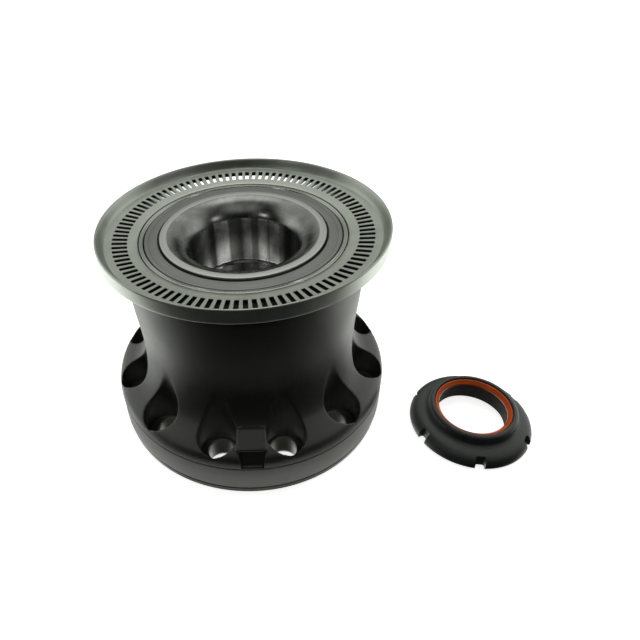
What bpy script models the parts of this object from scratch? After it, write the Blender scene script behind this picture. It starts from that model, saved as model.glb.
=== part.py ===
"""Truck wheel hub unit with a double-row tapered roller bearing, and its axle nut.

The hub stands on its wheel flange with the bearing axis along +Z, and the axle nut
lies on the same surface beside it.  The frame's origin is on that surface, under the
middle of the two pieces' common box.  Sizes below are in millimetres.
"""
import math

import bmesh
import bpy
from mathutils import Matrix

MM = 0.001
GAP = 0.3                      # clearance left between solids that touch

# Hub casting
FLANGE_R = 100.0               # wheel flange, outside
SPIGOT_R = 97.6                # centring spigot below the flange
SPIGOT_H = 6.5
SHOULDER_Z = 32.0              # top of the flange's outer wall
WAIST_R = 76.3                 # narrowest part of the spool
LIP_Z = 143.3                  # inboard end of the hub
BORE_R = 64.0                  # bore for the outer rings and the seals
BOLT_CIRCLE_R = 81.0
POCKET_CIRCLE_R = 84.0
BOLT_HOLE_R = 9.0
BOLTS = 12
POCKET_R = 13.0
POCKET_FLOOR_Z = 20.0
POCKET_LEAN = math.radians(6.1)

# Bearing
AXLE_R = 35.0                  # bore of the inner rings
JOINT_Z = 97.0                 # where the two inner rings meet
FACE_Z = 144.2                 # inboard face of the inner ring
SEAL_SEAT_R = 53.9             # outside of the inner ring under the seal
ROW_OFFSET = 22.5              # roller middle from the inner rings' joint
ROLLERS = 18
ROLLER_PITCH_R = 49.0
ROLLER_R = 6.8                 # mean roller radius
ROLLER_LEN = 29.0
ROLLER_TILT = math.radians(13.0)

# Sensor ring
SLOTS = 100
SLOT_IN_R = 74.0
SLOT_OUT_R = 83.5
SLOT_WIDTH = 2.8
SENSOR_R = 93.3
SENSOR_RIM_Z = 152.5

# Axle nut, placed from the hub axis
NUT_DX = 159.5
NUT_DY = -46.0
NUT_R = 42.0
NUT_H = 19.0
NUT_NOTCHES = 6
NUT_NOTCH_TURN = math.radians(-8.0)

HUB_X = (FLANGE_R - NUT_DX - NUT_R) / 2
NUT_X = HUB_X + NUT_DX

# The roller cone's apex lies on the axis, so that every roller rolls without slip
APEX_DROP = ROLLER_PITCH_R / math.tan(ROLLER_TILT)
ROLLER_HALF_ANGLE = math.atan(ROLLER_R * math.sin(ROLLER_TILT) / ROLLER_PITCH_R)
INNER_RACE_SLOPE = math.tan(ROLLER_TILT - ROLLER_HALF_ANGLE)
OUTER_RACE_SLOPE = math.tan(ROLLER_TILT + ROLLER_HALF_ANGLE)

CAST_STEPS = 60
RING_STEPS = 36


# ---------------------------------------------------------------- scene and helpers
def clear_scene():
    for obj in list(bpy.data.objects):
        bpy.data.objects.remove(obj, do_unlink=True)


def new_collection(name):
    collection = bpy.data.collections.new(name)
    bpy.context.scene.collection.children.link(collection)
    return collection


def material(name, color, roughness, metallic):
    mat = bpy.data.materials.new(name)
    mat.use_nodes = True
    shader = mat.node_tree.nodes["Principled BSDF"]
    shader.inputs["Base Color"].default_value = (*color, 1.0)
    shader.inputs["Roughness"].default_value = roughness
    shader.inputs["Metallic"].default_value = metallic
    return mat


def empty(name, x, y, parts):
    axis = bpy.data.objects.new(name, None)
    axis.location = (x * MM, y * MM, 0.0)
    parts.objects.link(axis)
    return axis


def add(name, mesh, parent, collection, mat=None):
    obj = bpy.data.objects.new(name, mesh)
    collection.objects.link(obj)
    obj.parent = parent
    if mat:
        mesh.materials.append(mat)
    mesh.shade_smooth()
    mesh.set_sharp_from_angle(angle=math.radians(30))
    return obj


def outline_mesh(name, points):
    """A closed outline in the XZ plane, for the Screw modifier."""
    mesh = bpy.data.meshes.new(name)
    bm = bmesh.new()
    verts = [bm.verts.new((r * MM, 0.0, z * MM)) for r, z in points]
    for i, vert in enumerate(verts):
        bm.edges.new((vert, verts[(i + 1) % len(verts)]))
    bm.to_mesh(mesh)
    bm.free()
    return mesh


def turned(name, points, parent, collection, mat=None, steps=RING_STEPS):
    """A ring turned round its parent's axis; points run down the outside first."""
    obj = add(name, outline_mesh(name, points), parent, collection, mat)
    screw = obj.modifiers.new("turn", "SCREW")
    screw.axis = "Z"
    screw.steps = steps
    screw.render_steps = steps
    screw.use_merge_vertices = True
    screw.merge_threshold = 0.00001
    screw.use_smooth_shade = True
    return obj


def arc(r, z, radius, start, end, count):
    """Points on an arc round (r, z), by angles in degrees from +R towards +Z."""
    angles = [math.radians(start + (end - start) * i / count) for i in range(count + 1)]
    return [(r + radius * math.cos(a), z + radius * math.sin(a)) for a in angles]


def mirrored(points):
    """The same outline reflected in the plane where the inner rings meet."""
    return [(r, 2 * JOINT_Z - z) for r, z in reversed(points)]


def turn(angle):
    return Matrix.Rotation(angle, 4, "Z")


def prism(bm, radius, height, segments, matrix, top_radius=None):
    """A cylinder or cone frustum with its foot at the matrix's origin, in mm."""
    foot = Matrix.Translation((0.0, 0.0, height / 2 * MM))
    bmesh.ops.create_cone(bm, cap_ends=True, segments=segments, radius1=radius * MM,
                          radius2=(top_radius or radius) * MM, depth=height * MM,
                          matrix=matrix @ foot)


def block(bm, size, matrix):
    scale = Matrix.Diagonal((*(s * MM for s in size), 1.0))
    bmesh.ops.create_cube(bm, size=1.0, matrix=matrix @ scale)


def shift(x, y, z):
    return Matrix.Translation((x * MM, y * MM, z * MM))


def cutter(name, fill, parent, cutters):
    """A hidden mesh for a Boolean, filled by a function of a bmesh."""
    mesh = bpy.data.meshes.new(name)
    bm = bmesh.new()
    fill(bm)
    bm.to_mesh(mesh)
    bm.free()
    obj = add(name, mesh, parent, cutters)
    obj.hide_render = True
    obj.display_type = "WIRE"
    return obj


def boolean(obj, tool, operation="DIFFERENCE"):
    mod = obj.modifiers.new(tool.name, "BOOLEAN")
    mod.operation = operation
    mod.object = tool


# ---------------------------------------------------------------- hub and sensor ring
def hub_outline():
    outside = [
        (67.0, LIP_Z), (67.3, LIP_Z - 0.5), (67.3, 141.3), (71.5, 141.3), (74.6, 138.6),
        (77.6, 131.0), (78.6, 116.0), (77.4, 96.0), (WAIST_R, 74.0), (77.2, 60.0),
        (79.2, 49.5), (82.6, 43.6), (88.0, 40.6), (94.5, 38.6), (98.6, 36.0),
        (FLANGE_R, SHOULDER_Z), (FLANGE_R, SPIGOT_H + 0.8), (FLANGE_R - 0.8, SPIGOT_H),
        (SPIGOT_R, SPIGOT_H), (SPIGOT_R, 2.6), (95.8, 0.0),
    ]
    inside = [
        (BORE_R + 2.0, 0.0), (BORE_R, 2.0), (BORE_R, JOINT_Z - 5.8), (58.0, JOINT_Z - 5.8),
        (58.0, JOINT_Z + 5.8), (BORE_R, JOINT_Z + 5.8), (BORE_R, LIP_Z - 0.8),
        (BORE_R + 0.8, LIP_Z),
    ]
    return outside + inside


def fill_pockets(bm):
    """Leaning round pockets whose floors stay level and carry the bolt heads."""
    lean = Matrix.Identity(4)
    lean[0][2] = math.tan(POCKET_LEAN)
    for i in range(BOLTS):
        place = turn(-math.pi / 2 + math.pi * (2 * i + 1) / BOLTS)
        prism(bm, POCKET_R, 76.0, 16, place @ shift(POCKET_CIRCLE_R, 0, POCKET_FLOOR_Z) @ lean)


def fill_bolt_holes(bm):
    for i in range(BOLTS):
        place = turn(-math.pi / 2 + math.pi * (2 * i + 1) / BOLTS)
        prism(bm, BOLT_HOLE_R, 40.0, 12, place @ shift(BOLT_CIRCLE_R, 0, -5.0))


def fill_rim_notch(bm):
    """The cast recess in the flange rim, in front of the marking pad."""
    block(bm, (14.0, 20.0, 30.0), shift(0, -103.0, 42.2))


def fill_marking_pad(bm):
    """The blank raised pad between the two front pockets."""
    lean = Matrix.Rotation(math.radians(24.0), 4, "X")
    block(bm, (21.0, 17.0, 12.0), shift(0, -85.5, 37.6) @ lean)


def make_hub(axis, parts, cutters):
    mat = material("phosphated_iron", (0.055, 0.056, 0.055), 0.45, 0.6)
    hub = turned("hub", hub_outline(), axis, parts, mat, CAST_STEPS)
    boolean(hub, cutter("marking_pad_block", fill_marking_pad, axis, cutters), "UNION")
    boolean(hub, cutter("pocket_cutter", fill_pockets, axis, cutters))
    boolean(hub, cutter("bolt_hole_cutter", fill_bolt_holes, axis, cutters))
    boolean(hub, cutter("rim_notch_cutter", fill_rim_notch, axis, cutters))


def fill_slots(bm):
    middle = (SLOT_IN_R + SLOT_OUT_R) / 2
    size = (SLOT_OUT_R - SLOT_IN_R, SLOT_WIDTH, 12.0)
    for i in range(SLOTS):
        block(bm, size, turn(2 * math.pi * (i + 0.28) / SLOTS) @ shift(middle, 0, 144.0))


def make_sensor_ring(axis, parts, cutters):
    mat = material("sensor_ring_steel", (0.30, 0.32, 0.30), 0.4, 0.7)
    outline = [
        (92.2, SENSOR_RIM_Z), (SENSOR_R, SENSOR_RIM_Z - 0.9), (SENSOR_R, 142.9),
        (67.6, 141.7), (67.6, 143.6), (88.2, 146.1), (91.4, 152.0),
    ]
    ring = turned("abs_sensor_ring", outline, axis, parts, mat, SLOTS // 2)
    boolean(ring, cutter("slot_cutter", fill_slots, axis, cutters))


# ---------------------------------------------------------------- bearing rings
def inner_race_r(z):
    return (z - JOINT_Z - ROW_OFFSET + APEX_DROP) * INNER_RACE_SLOPE - GAP


def outer_race_r(z):
    return (z - JOINT_Z - ROW_OFFSET + APEX_DROP) * OUTER_RACE_SLOPE + GAP


def back_rib_z(r):
    """Height of the guide rib's face, square to the rollers' large ends."""
    run = (r - ROLLER_PITCH_R) * math.sin(ROLLER_TILT)
    return JOINT_Z + ROW_OFFSET + (ROLLER_LEN / 2 + GAP - run) / math.cos(ROLLER_TILT)


def inner_ring_outline(mouth):
    """The inboard inner ring; mouth holds the outline of its outer bore corner."""
    front_rib_z = JOINT_Z + ROW_OFFSET - 15.0
    race_end_r = 45.2
    return [
        (SEAL_SEAT_R - 0.6, FACE_Z), (SEAL_SEAT_R, FACE_Z - 0.6),
        (SEAL_SEAT_R, back_rib_z(50.5) + 2.0), (50.5, back_rib_z(50.5)),
        (race_end_r - GAP / 2, back_rib_z(race_end_r)),
        (inner_race_r(front_rib_z), front_rib_z), (40.6, front_rib_z), (40.6, JOINT_Z + 4.0),
        (39.4, JOINT_Z + 4.0), (39.4, JOINT_Z + GAP / 2), (AXLE_R + 1.6, JOINT_Z + GAP / 2),
        (AXLE_R, JOINT_Z + 2.2),
    ] + mouth


def make_inner_rings(axis, parts):
    mat = material("bearing_steel", (0.42, 0.43, 0.43), 0.25, 0.9)
    wide_mouth = arc(49.4, FACE_Z - 11.6, 14.4, 180.0, 100.0, 5)
    wide_mouth = [(r, FACE_Z - 11.6 + (z - FACE_Z + 11.6) * 0.8) for r, z in wide_mouth]
    inboard = inner_ring_outline(wide_mouth + [(49.4, FACE_Z)])
    outboard = inner_ring_outline([(AXLE_R, FACE_Z - 2.0), (AXLE_R + 2.0, FACE_Z)])
    turned("inner_ring_inboard", inboard, axis, parts, mat)
    turned("inner_ring_outboard", mirrored(outboard), axis, parts, mat)


def make_outer_rings(axis, parts):
    mat = material("outer_ring_steel", (0.40, 0.41, 0.41), 0.3, 0.9)
    low, high = JOINT_Z + 6.1, JOINT_Z + ROW_OFFSET + 15.6
    outline = [
        (BORE_R - GAP, high), (BORE_R - GAP, low + 1.5), (BORE_R - GAP - 1.5, low),
        (outer_race_r(low), low), (outer_race_r(high), high),
    ]
    turned("outer_ring_inboard", outline, axis, parts, mat)
    turned("outer_ring_outboard", mirrored(outline), axis, parts, mat)


def make_joint_clip(axis, parts):
    """The clip that ties the two inner rings together across their joint."""
    mat = material("clip_steel", (0.30, 0.30, 0.31), 0.35, 0.9)
    inside = 39.4 + GAP
    outline = [
        (inside + 1.0, JOINT_Z + 3.6), (inside + 1.0, JOINT_Z - 3.6),
        (inside, JOINT_Z - 3.6), (inside, JOINT_Z + 3.6),
    ]
    turned("inner_ring_joint_clip", outline, axis, parts, mat)


# ---------------------------------------------------------------- rollers and cages
def roller_mesh():
    """A tapered roller about its own axis, large end up, middle at the origin."""
    mesh = bpy.data.meshes.new("tapered_roller")
    bm = bmesh.new()
    grow = ROLLER_LEN / 2 * math.tan(ROLLER_HALF_ANGLE)
    prism(bm, ROLLER_R - grow, ROLLER_LEN, 12, shift(0, 0, -ROLLER_LEN / 2), ROLLER_R + grow)
    bm.to_mesh(mesh)
    bm.free()
    return mesh


def make_rollers(axis, parts):
    mat = material("roller_steel", (0.45, 0.45, 0.46), 0.2, 0.95)
    for row, side in (("inboard", 1), ("outboard", -1)):
        mesh = roller_mesh()
        mesh.materials.append(mat)
        z = JOINT_Z + side * ROW_OFFSET
        lean = Matrix.Rotation(ROLLER_TILT, 4, "Y")
        for i in range(ROLLERS):
            roller = add(f"roller_{row}_{i + 1:02d}", mesh, axis, parts)
            place = turn(2 * math.pi * i / ROLLERS) @ shift(ROLLER_PITCH_R, 0, z)
            flip = Matrix.Rotation(math.pi if side < 0 else 0.0, 4, "X")
            roller.matrix_local = place @ flip @ lean


def cage_r(z):
    """Middle radius of the cage wall, just outside the rollers' pitch cone."""
    return ROLLER_PITCH_R + 2.5 + (z - JOINT_Z - ROW_OFFSET) * math.tan(ROLLER_TILT)


def fill_cage_windows(bm):
    lean = Matrix.Rotation(ROLLER_TILT, 4, "Y")
    for i in range(ROLLERS):
        place = turn(2 * math.pi * i / ROLLERS) @ shift(ROLLER_PITCH_R, 0, JOINT_Z + ROW_OFFSET)
        grow = ROLLER_LEN / 2 * math.tan(ROLLER_HALF_ANGLE)
        foot = shift(0, 0, -ROLLER_LEN / 2 - GAP)
        prism(bm, ROLLER_R - grow + GAP, ROLLER_LEN + 2 * GAP, 12, place @ lean @ foot,
              ROLLER_R + grow + GAP)


def cage_outline():
    low, high = JOINT_Z + ROW_OFFSET - 17.2, JOINT_Z + ROW_OFFSET + 16.0
    wall = 0.7
    return [
        (cage_r(high) + wall, high), (cage_r(low) + wall, low + 1.2), (cage_r(low) + wall - 0.6, low),
        (cage_r(low) - 4.2, low), (cage_r(low) - 4.2, low + 1.2), (cage_r(low) - wall, low + 1.6),
        (cage_r(high) - wall, high),
    ]


def make_cages(axis, parts, cutters):
    mat = material("cage_steel", (0.22, 0.22, 0.22), 0.45, 0.8)
    steps = 2 * ROLLERS
    tool = cutter("window_cutter_inboard", fill_cage_windows, axis, cutters)
    inboard = turned("cage_inboard", cage_outline(), axis, parts, mat, steps)
    boolean(inboard, tool)
    other = tool.copy()
    other.name = "window_cutter_outboard"
    cutters.objects.link(other)
    flip = shift(0, 0, 2 * JOINT_Z) @ Matrix.Rotation(math.pi, 4, "X")
    other.matrix_local = flip
    outboard = turned("cage_outboard", mirrored(cage_outline()), axis, parts, mat, steps)
    boolean(outboard, other)


# ---------------------------------------------------------------- seals
def case_outline():
    """Pressed steel seal case: flat face, outer wall in the hub bore, hooked edge."""
    top, low, wall = LIP_Z - 0.1, 135.6, 1.2
    outside = BORE_R - GAP
    return [
        (outside - 1.0, top), (outside, top - 1.0), (outside, low),
        (outside - wall, low), (outside - wall, top - wall), (55.2, top - wall), (55.2, top),
    ]


def lip_outline():
    """Rubber lip under the case's face, reaching to the inner ring's seat."""
    top = LIP_Z - 0.1 - 1.2 - GAP
    return [
        (61.6, top), (61.6, top - 2.2), (57.6, top - 2.6), (SEAL_SEAT_R + 1.6, top - 4.6),
        (SEAL_SEAT_R + 0.6, top - 4.4), (SEAL_SEAT_R + 1.6, top),
    ]


def make_seals(axis, parts):
    case_mat = material("seal_case_steel", (0.24, 0.25, 0.24), 0.4, 0.8)
    lip_mat = material("seal_rubber", (0.015, 0.015, 0.015), 0.6, 0.0)
    turned("seal_case_inboard", case_outline(), axis, parts, case_mat)
    turned("seal_lip_inboard", lip_outline(), axis, parts, lip_mat)
    turned("seal_case_outboard", mirrored(case_outline()), axis, parts, case_mat)
    turned("seal_lip_outboard", mirrored(lip_outline()), axis, parts, lip_mat)


# ---------------------------------------------------------------- axle nut
def fill_nut_notches(bm):
    for i in range(NUT_NOTCHES):
        place = turn(-math.pi / 2 + NUT_NOTCH_TURN + 2 * math.pi * i / NUT_NOTCHES)
        block(bm, (9.0, 6.6, 16.0), place @ shift(NUT_R, 0, 0.6))


def make_axle_nut(axis, parts, cutters):
    mat = material("blackened_nut_steel", (0.032, 0.034, 0.036), 0.5, 0.4)
    outline = [
        (28.4, NUT_H), (29.8, NUT_H - 1.4), (30.4, NUT_H - 4.0), (30.8, 12.4), (32.8, 10.8),
        (38.0, 9.1), (41.0, 6.6), (NUT_R, 4.6), (NUT_R, 1.0), (NUT_R - 1.0, 0.0),
        (25.6, 0.0), (24.0, 1.6), (24.0, 12.6), (26.6, 12.6), (26.6, NUT_H),
    ]
    nut = turned("axle_nut", outline, axis, parts, mat, RING_STEPS)
    boolean(nut, cutter("nut_notch_cutter", fill_nut_notches, axis, cutters))


def make_nut_seal(axis, parts):
    mat = material("orange_silicone", (0.62, 0.10, 0.02), 0.4, 0.0)
    outline = [
        (26.6 - GAP, NUT_H - 1.2), (26.6 - GAP, 13.0), (24.4, 13.0), (23.2, 14.8),
        (24.2, NUT_H - 1.2),
    ]
    turned("axle_nut_seal_ring", outline, axis, parts, mat)


def build():
    clear_scene()
    parts = new_collection("wheel_hub_bearing_unit")
    cutters = new_collection("cutters")
    hub_axis = empty("hub_axis", HUB_X, 0.0, parts)
    nut_axis = empty("nut_axis", NUT_X, NUT_DY, parts)
    make_hub(hub_axis, parts, cutters)
    make_sensor_ring(hub_axis, parts, cutters)
    make_outer_rings(hub_axis, parts)
    make_inner_rings(hub_axis, parts)
    make_joint_clip(hub_axis, parts)
    make_rollers(hub_axis, parts)
    make_cages(hub_axis, parts, cutters)
    make_seals(hub_axis, parts)
    make_axle_nut(nut_axis, parts, cutters)
    make_nut_seal(nut_axis, parts)


build()
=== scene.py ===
"""Looks of a truck wheel hub unit: hub casting with its tapered roller bearing, sensor ring and loose nut.

Lengths in the shape code are millimetres from the hub axis (or the nut axis) and the surface below;
they become metres when a mesh is made.
"""
import math

import bmesh
import bpy
import numpy as np
from mathutils import Matrix, Vector


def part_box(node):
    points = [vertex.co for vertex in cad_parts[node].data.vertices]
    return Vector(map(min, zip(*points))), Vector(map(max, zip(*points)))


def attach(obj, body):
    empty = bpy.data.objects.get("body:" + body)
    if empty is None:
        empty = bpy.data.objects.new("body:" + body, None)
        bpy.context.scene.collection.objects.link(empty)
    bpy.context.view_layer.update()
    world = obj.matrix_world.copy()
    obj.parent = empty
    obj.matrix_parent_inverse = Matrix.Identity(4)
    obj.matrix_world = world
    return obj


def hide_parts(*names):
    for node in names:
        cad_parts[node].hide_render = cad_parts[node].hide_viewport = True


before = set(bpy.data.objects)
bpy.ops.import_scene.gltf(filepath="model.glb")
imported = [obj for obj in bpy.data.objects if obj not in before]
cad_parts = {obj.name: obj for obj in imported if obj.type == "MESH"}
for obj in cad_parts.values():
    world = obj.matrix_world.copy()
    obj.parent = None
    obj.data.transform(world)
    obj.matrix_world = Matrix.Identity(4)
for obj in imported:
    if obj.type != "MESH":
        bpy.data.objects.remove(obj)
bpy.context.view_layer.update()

MM = 0.001


def centre(node):
    low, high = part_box(node)
    return (low + high) / 2


HUB = centre("abs_sensor_ring")
NUT = centre("axle_nut_seal_ring")
HUB_AT = (HUB.x, HUB.y)
NUT_AT = (NUT.x, NUT.y)

JOINT_Z = 97.0
ROW_OFFSET = 22.5
ROLLERS = 18
PITCH_R = 49.0
ROLLER_R = 6.8
ROLLER_LEN = 29.0
TILT = math.radians(13.0)
HALF_ANGLE = math.atan(ROLLER_R * math.sin(TILT) / PITCH_R)
APEX_DROP = PITCH_R / math.tan(TILT)
BORE_R = 35.0
FACE_Z = 144.2                  # ground face of the inboard inner ring
SLOTS = 100
SLOT_PHASE = 0.28               # share of a pitch by which the first slot is turned from +X
SLOT_HALF, SLOT_IN_R, SLOT_OUT_R = 1.42, 74.1, 83.6
PLATE_SPAN = (72.4, 85.2)       # the slotted band's inner and outer radius
PLATE_IN_R, PLATE_IN_Z = 67.6, 143.6     # the sensor plate's top at its inner edge
PLATE_OUT_R, PLATE_OUT_Z = 88.2, 146.1   # and where it turns up into the rim
RIM_R = 93.3
FLANGE_R = 100.0
BOLTS = 12
BOLT_R = 81.0                   # bolt circle
BOLT_HOLE_R = 9.0
RELIEF_Z = 4.6                  # the holes widen below this height
RELIEF_SLOPE = 0.5
POCKET_AT_R = 84.0
POCKET_R = 13.0
POCKET_FLOOR_Z = 20.0
POCKET_LEAN = math.tan(math.radians(6.1))
PAD_OUT, PAD_Z = 90.0, 44.6     # the middle of the pad's face: out from the axis, and its height
PAD_TILT = math.radians(31.7)
RECESS_OUT, RECESS_Z = 98.5, 32.9
RECESS_LEAN = (0.88, 0.474)     # cosine and sine of the recess's lean
NOTCHES = 6
NOTCH_TURN = math.radians(-8.0)
CAGE_OUT = 2.5                  # the cages stand this far outside the rollers' axes
CAMERA_FROM_HUB = (0.0087, -0.3054, 0.3219)   # metres, from the foot of the hub's axis
CAMERA_DOWN, CAMERA_TURN, CAMERA_ROLL = 39.64, 2.2, -3.86
SENSOR_MM, LENS_MM, SHIFT_X = 36.0, 30.43575, 0.118890625


# ------------------------------------------------------------------ node materials
class Graph:
    """A short way to wire shader nodes."""

    def __init__(self, tree):
        self.tree = tree

    def node(self, kind, **settings):
        made = self.tree.nodes.new(kind)
        for key, value in settings.items():
            setattr(made, key, value)
        return made

    def put(self, socket, value):
        if isinstance(value, bpy.types.NodeSocket):
            self.tree.links.new(value, socket)
        else:
            socket.default_value = value

    def math(self, operation, *values):
        made = self.node("ShaderNodeMath", operation=operation)
        for socket, value in zip(made.inputs, values):
            self.put(socket, value)
        return made.outputs[0]

    def noise(self, vector, scale, detail=4.0, rough=0.55, distort=0.0):
        made = self.node("ShaderNodeTexNoise")
        self.put(made.inputs["Vector"], vector)
        made.inputs["Scale"].default_value = scale
        made.inputs["Detail"].default_value = detail
        made.inputs["Roughness"].default_value = rough
        made.inputs["Distortion"].default_value = distort
        return made.outputs["Fac"]

    def ramp(self, value, stops):
        made = self.node("ShaderNodeValToRGB")
        self.put(made.inputs["Fac"], value)
        elements = made.color_ramp.elements
        for i, (at, color) in enumerate(stops):
            element = elements[i] if i < 2 else elements.new(at)
            element.position = at
            element.color = (*color, 1.0) if len(color) == 3 else color
        return made.outputs["Color"]

    def spread(self, value, low, high, to_low, to_high):
        made = self.node("ShaderNodeMapRange")
        for socket, v in zip(made.inputs, (value, low, high, to_low, to_high)):
            self.put(socket, v)
        return made.outputs["Result"]

    def mix(self, fac, a, b, blend="MIX"):
        made = self.node("ShaderNodeMix", data_type="RGBA", blend_type=blend)
        self.put(made.inputs["Factor"], fac)
        self.put(made.inputs["A"], a)
        self.put(made.inputs["B"], b)
        return made.outputs["Result"]

    def bump(self, height, strength, distance, normal=None):
        made = self.node("ShaderNodeBump")
        made.inputs["Strength"].default_value = strength
        made.inputs["Distance"].default_value = distance
        self.put(made.inputs["Height"], height)
        if normal is not None:
            self.put(made.inputs["Normal"], normal)
        return made.outputs["Normal"]


def rgb(r, g, b):
    return (r, g, b, 1.0)


def new_material(name):
    mat = bpy.data.materials.new(name)
    mat.use_nodes = True
    tree = mat.node_tree
    shader = next(n for n in tree.nodes if n.type == "BSDF_PRINCIPLED")
    return mat, Graph(tree), shader


def position(g):
    return g.node("ShaderNodeTexCoord").outputs["Object"]


def length(g, a, b):
    return g.math("SQRT", g.math("ADD", g.math("MULTIPLY", a, a), g.math("MULTIPLY", b, b)))


def from_axis(g, at):
    """The surface point's x and y measured from an upright axis, and its height."""
    split = g.node("ShaderNodeSeparateXYZ")
    g.put(split.inputs[0], position(g))
    x = g.math("SUBTRACT", split.outputs["X"], at[0])
    y = g.math("SUBTRACT", split.outputs["Y"], at[1])
    return x, y, split.outputs["Z"]


def turned_coordinates(g, at):
    """(distance from the axis, height, 0) of a surface point, for marks that run round a turned piece."""
    x, y, z = from_axis(g, at)
    join = g.node("ShaderNodeCombineXYZ")
    g.put(join.inputs["X"], length(g, x, y))
    g.put(join.inputs["Y"], z)
    return join.outputs[0]


def bolt_hole_mask(g):
    """1 on the machined walls of the twelve bolt holes, 0 on the rest of the casting."""
    x, y, z = from_axis(g, HUB_AT)
    r = length(g, x, y)
    step = 2 * math.pi / BOLTS
    turn = g.math("SUBTRACT", g.math("FLOORED_MODULO", g.math("ARCTAN2", y, x), step), step / 2)
    u = g.math("SUBTRACT", g.math("MULTIPLY", r, g.math("COSINE", turn)), BOLT_R * MM)
    v = g.math("MULTIPLY", r, g.math("SINE", turn))
    wall = (BOLT_HOLE_R + 0.6) * MM
    widest = wall + RELIEF_SLOPE * RELIEF_Z * MM
    past = g.math("SUBTRACT", length(g, u, v), g.spread(z, 0.0, RELIEF_Z * MM, widest, wall))
    return g.math("MULTIPLY", g.spread(past, -0.0002, 0.0001, 1.0, 0.0),
                  g.spread(z, (POCKET_FLOOR_Z - 0.1) * MM, (POCKET_FLOOR_Z + 0.2) * MM, 1.0, 0.0))


def bore_direction(g):
    """The level vector from the hub's axis to the surface point: even along the bore, changing round it."""
    offset = g.node("ShaderNodeVectorMath", operation="SUBTRACT")
    g.put(offset.inputs[0], position(g))
    offset.inputs[1].default_value = (*HUB_AT, 0.0)
    level = g.node("ShaderNodeVectorMath", operation="MULTIPLY")
    g.put(level.inputs[0], offset.outputs[0])
    level.inputs[1].default_value = (1.0, 1.0, 0.0)
    return level.outputs[0]


def inner_ring_material():
    """Ground ring face, bright; the mouth and the bore inside it dark, polished and mottled; the bore also
    has painted reflections, two bright stripes at its sides, and painted shade below the joint.
    """
    mat, g, shader = new_material("ground_steel")
    ring = turned_coordinates(g, HUB_AT)
    split = g.node("ShaderNodeSeparateXYZ")
    g.put(split.inputs[0], ring)
    marks = g.noise(ring, 4200.0, 3.0, 0.7)
    cloud = g.noise(position(g), 75.0, 5.0, 0.6, 0.4)
    face = g.spread(split.outputs["X"], 0.0490, 0.0496, 0.0, 1.0)
    mouth = g.ramp(cloud, [(0.34, (0.13, 0.132, 0.127)), (0.68, (0.24, 0.243, 0.233))])
    bore = g.spread(split.outputs["X"], (BORE_R + 0.1) * MM, (BORE_R + 0.6) * MM, 1.0, 0.0)
    # painted reflection: two bright upright stripes at the two sides of the bore, set by the direction round
    # the axis plus a broad noise
    around = g.node("ShaderNodeVectorMath", operation="NORMALIZE")
    g.put(around.inputs[0], bore_direction(g))
    facing = g.node("ShaderNodeSeparateXYZ")
    g.put(facing.inputs[0], around.outputs[0])
    off_centre = g.math("SUBTRACT", facing.outputs["X"], 0.07)
    aside = g.math("ABSOLUTE", g.math("SUBTRACT", g.math("ABSOLUTE", off_centre), 0.55))
    reflection_stripes = g.math("ADD", g.noise(around.outputs[0], 3.2, 3.0, 0.5), g.spread(aside, 0.06, 0.12, 0.24, 0.0))
    painted_bore_reflections = g.ramp(reflection_stripes, [(0.44, (0.17, 0.172, 0.164)), (0.60, (0.86, 0.865, 0.84))])
    # painted shade: the bore is darkened below the joint between the two rings, deep inside the hub
    depth = g.spread(split.outputs["Y"], (JOINT_Z - 0.5) * MM, (JOINT_Z + 1.5) * MM, 0.8, 0.0)
    painted_bore_reflections = g.mix(depth, painted_bore_reflections, rgb(0.06, 0.061, 0.058))
    inside = g.mix(bore, mouth, painted_bore_reflections)
    outside = g.ramp(marks, [(0.35, (0.34, 0.346, 0.332)), (0.65, (0.45, 0.456, 0.438))])
    g.put(shader.inputs["Base Color"], g.mix(face, inside, outside))
    g.put(shader.inputs["Roughness"], g.math("ADD", g.spread(cloud, 0.3, 0.7, 0.20, 0.30),
                                             g.math("SUBTRACT", g.math("MULTIPLY", face, 0.12),
                                                    g.math("MULTIPLY", bore, 0.06))))
    shader.inputs["Metallic"].default_value = 1.0
    g.put(shader.inputs["Normal"], g.bump(marks, 0.06, 0.00005))
    return mat


def cast_material():
    """Phosphated iron casting: near-black, satin, with a fine sand-cast grain and cloudy patches."""
    mat, g, shader = new_material("phosphated_casting")
    where = position(g)
    cloud = g.noise(where, 28.0, 5.0, 0.6)
    grain = g.noise(where, 950.0, 3.0, 0.6)
    pits = g.noise(where, 2600.0, 2.0, 0.5)
    color = g.ramp(cloud, [(0.30, (0.014, 0.0142, 0.0122)), (0.72, (0.025, 0.0252, 0.0217))])
    color = g.mix(g.spread(grain, 0.35, 0.65, 0.0, 0.45), color, rgb(0.038, 0.0382, 0.0335))
    bored = bolt_hole_mask(g)
    color = g.mix(bored, color, rgb(0.24, 0.24, 0.222))
    g.put(shader.inputs["Base Color"], color)
    rough = g.math("ADD", g.spread(cloud, 0.3, 0.7, 0.44, 0.54), g.spread(grain, 0.3, 0.7, -0.03, 0.05))
    g.put(shader.inputs["Roughness"], rough)
    g.put(shader.inputs["Metallic"], g.math("MULTIPLY", bored, 0.6))
    shader.inputs["IOR"].default_value = 1.75
    normal = g.bump(grain, 0.22, 0.0004)
    g.put(shader.inputs["Normal"], g.bump(pits, 0.16, 0.00016, normal))
    return mat


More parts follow.
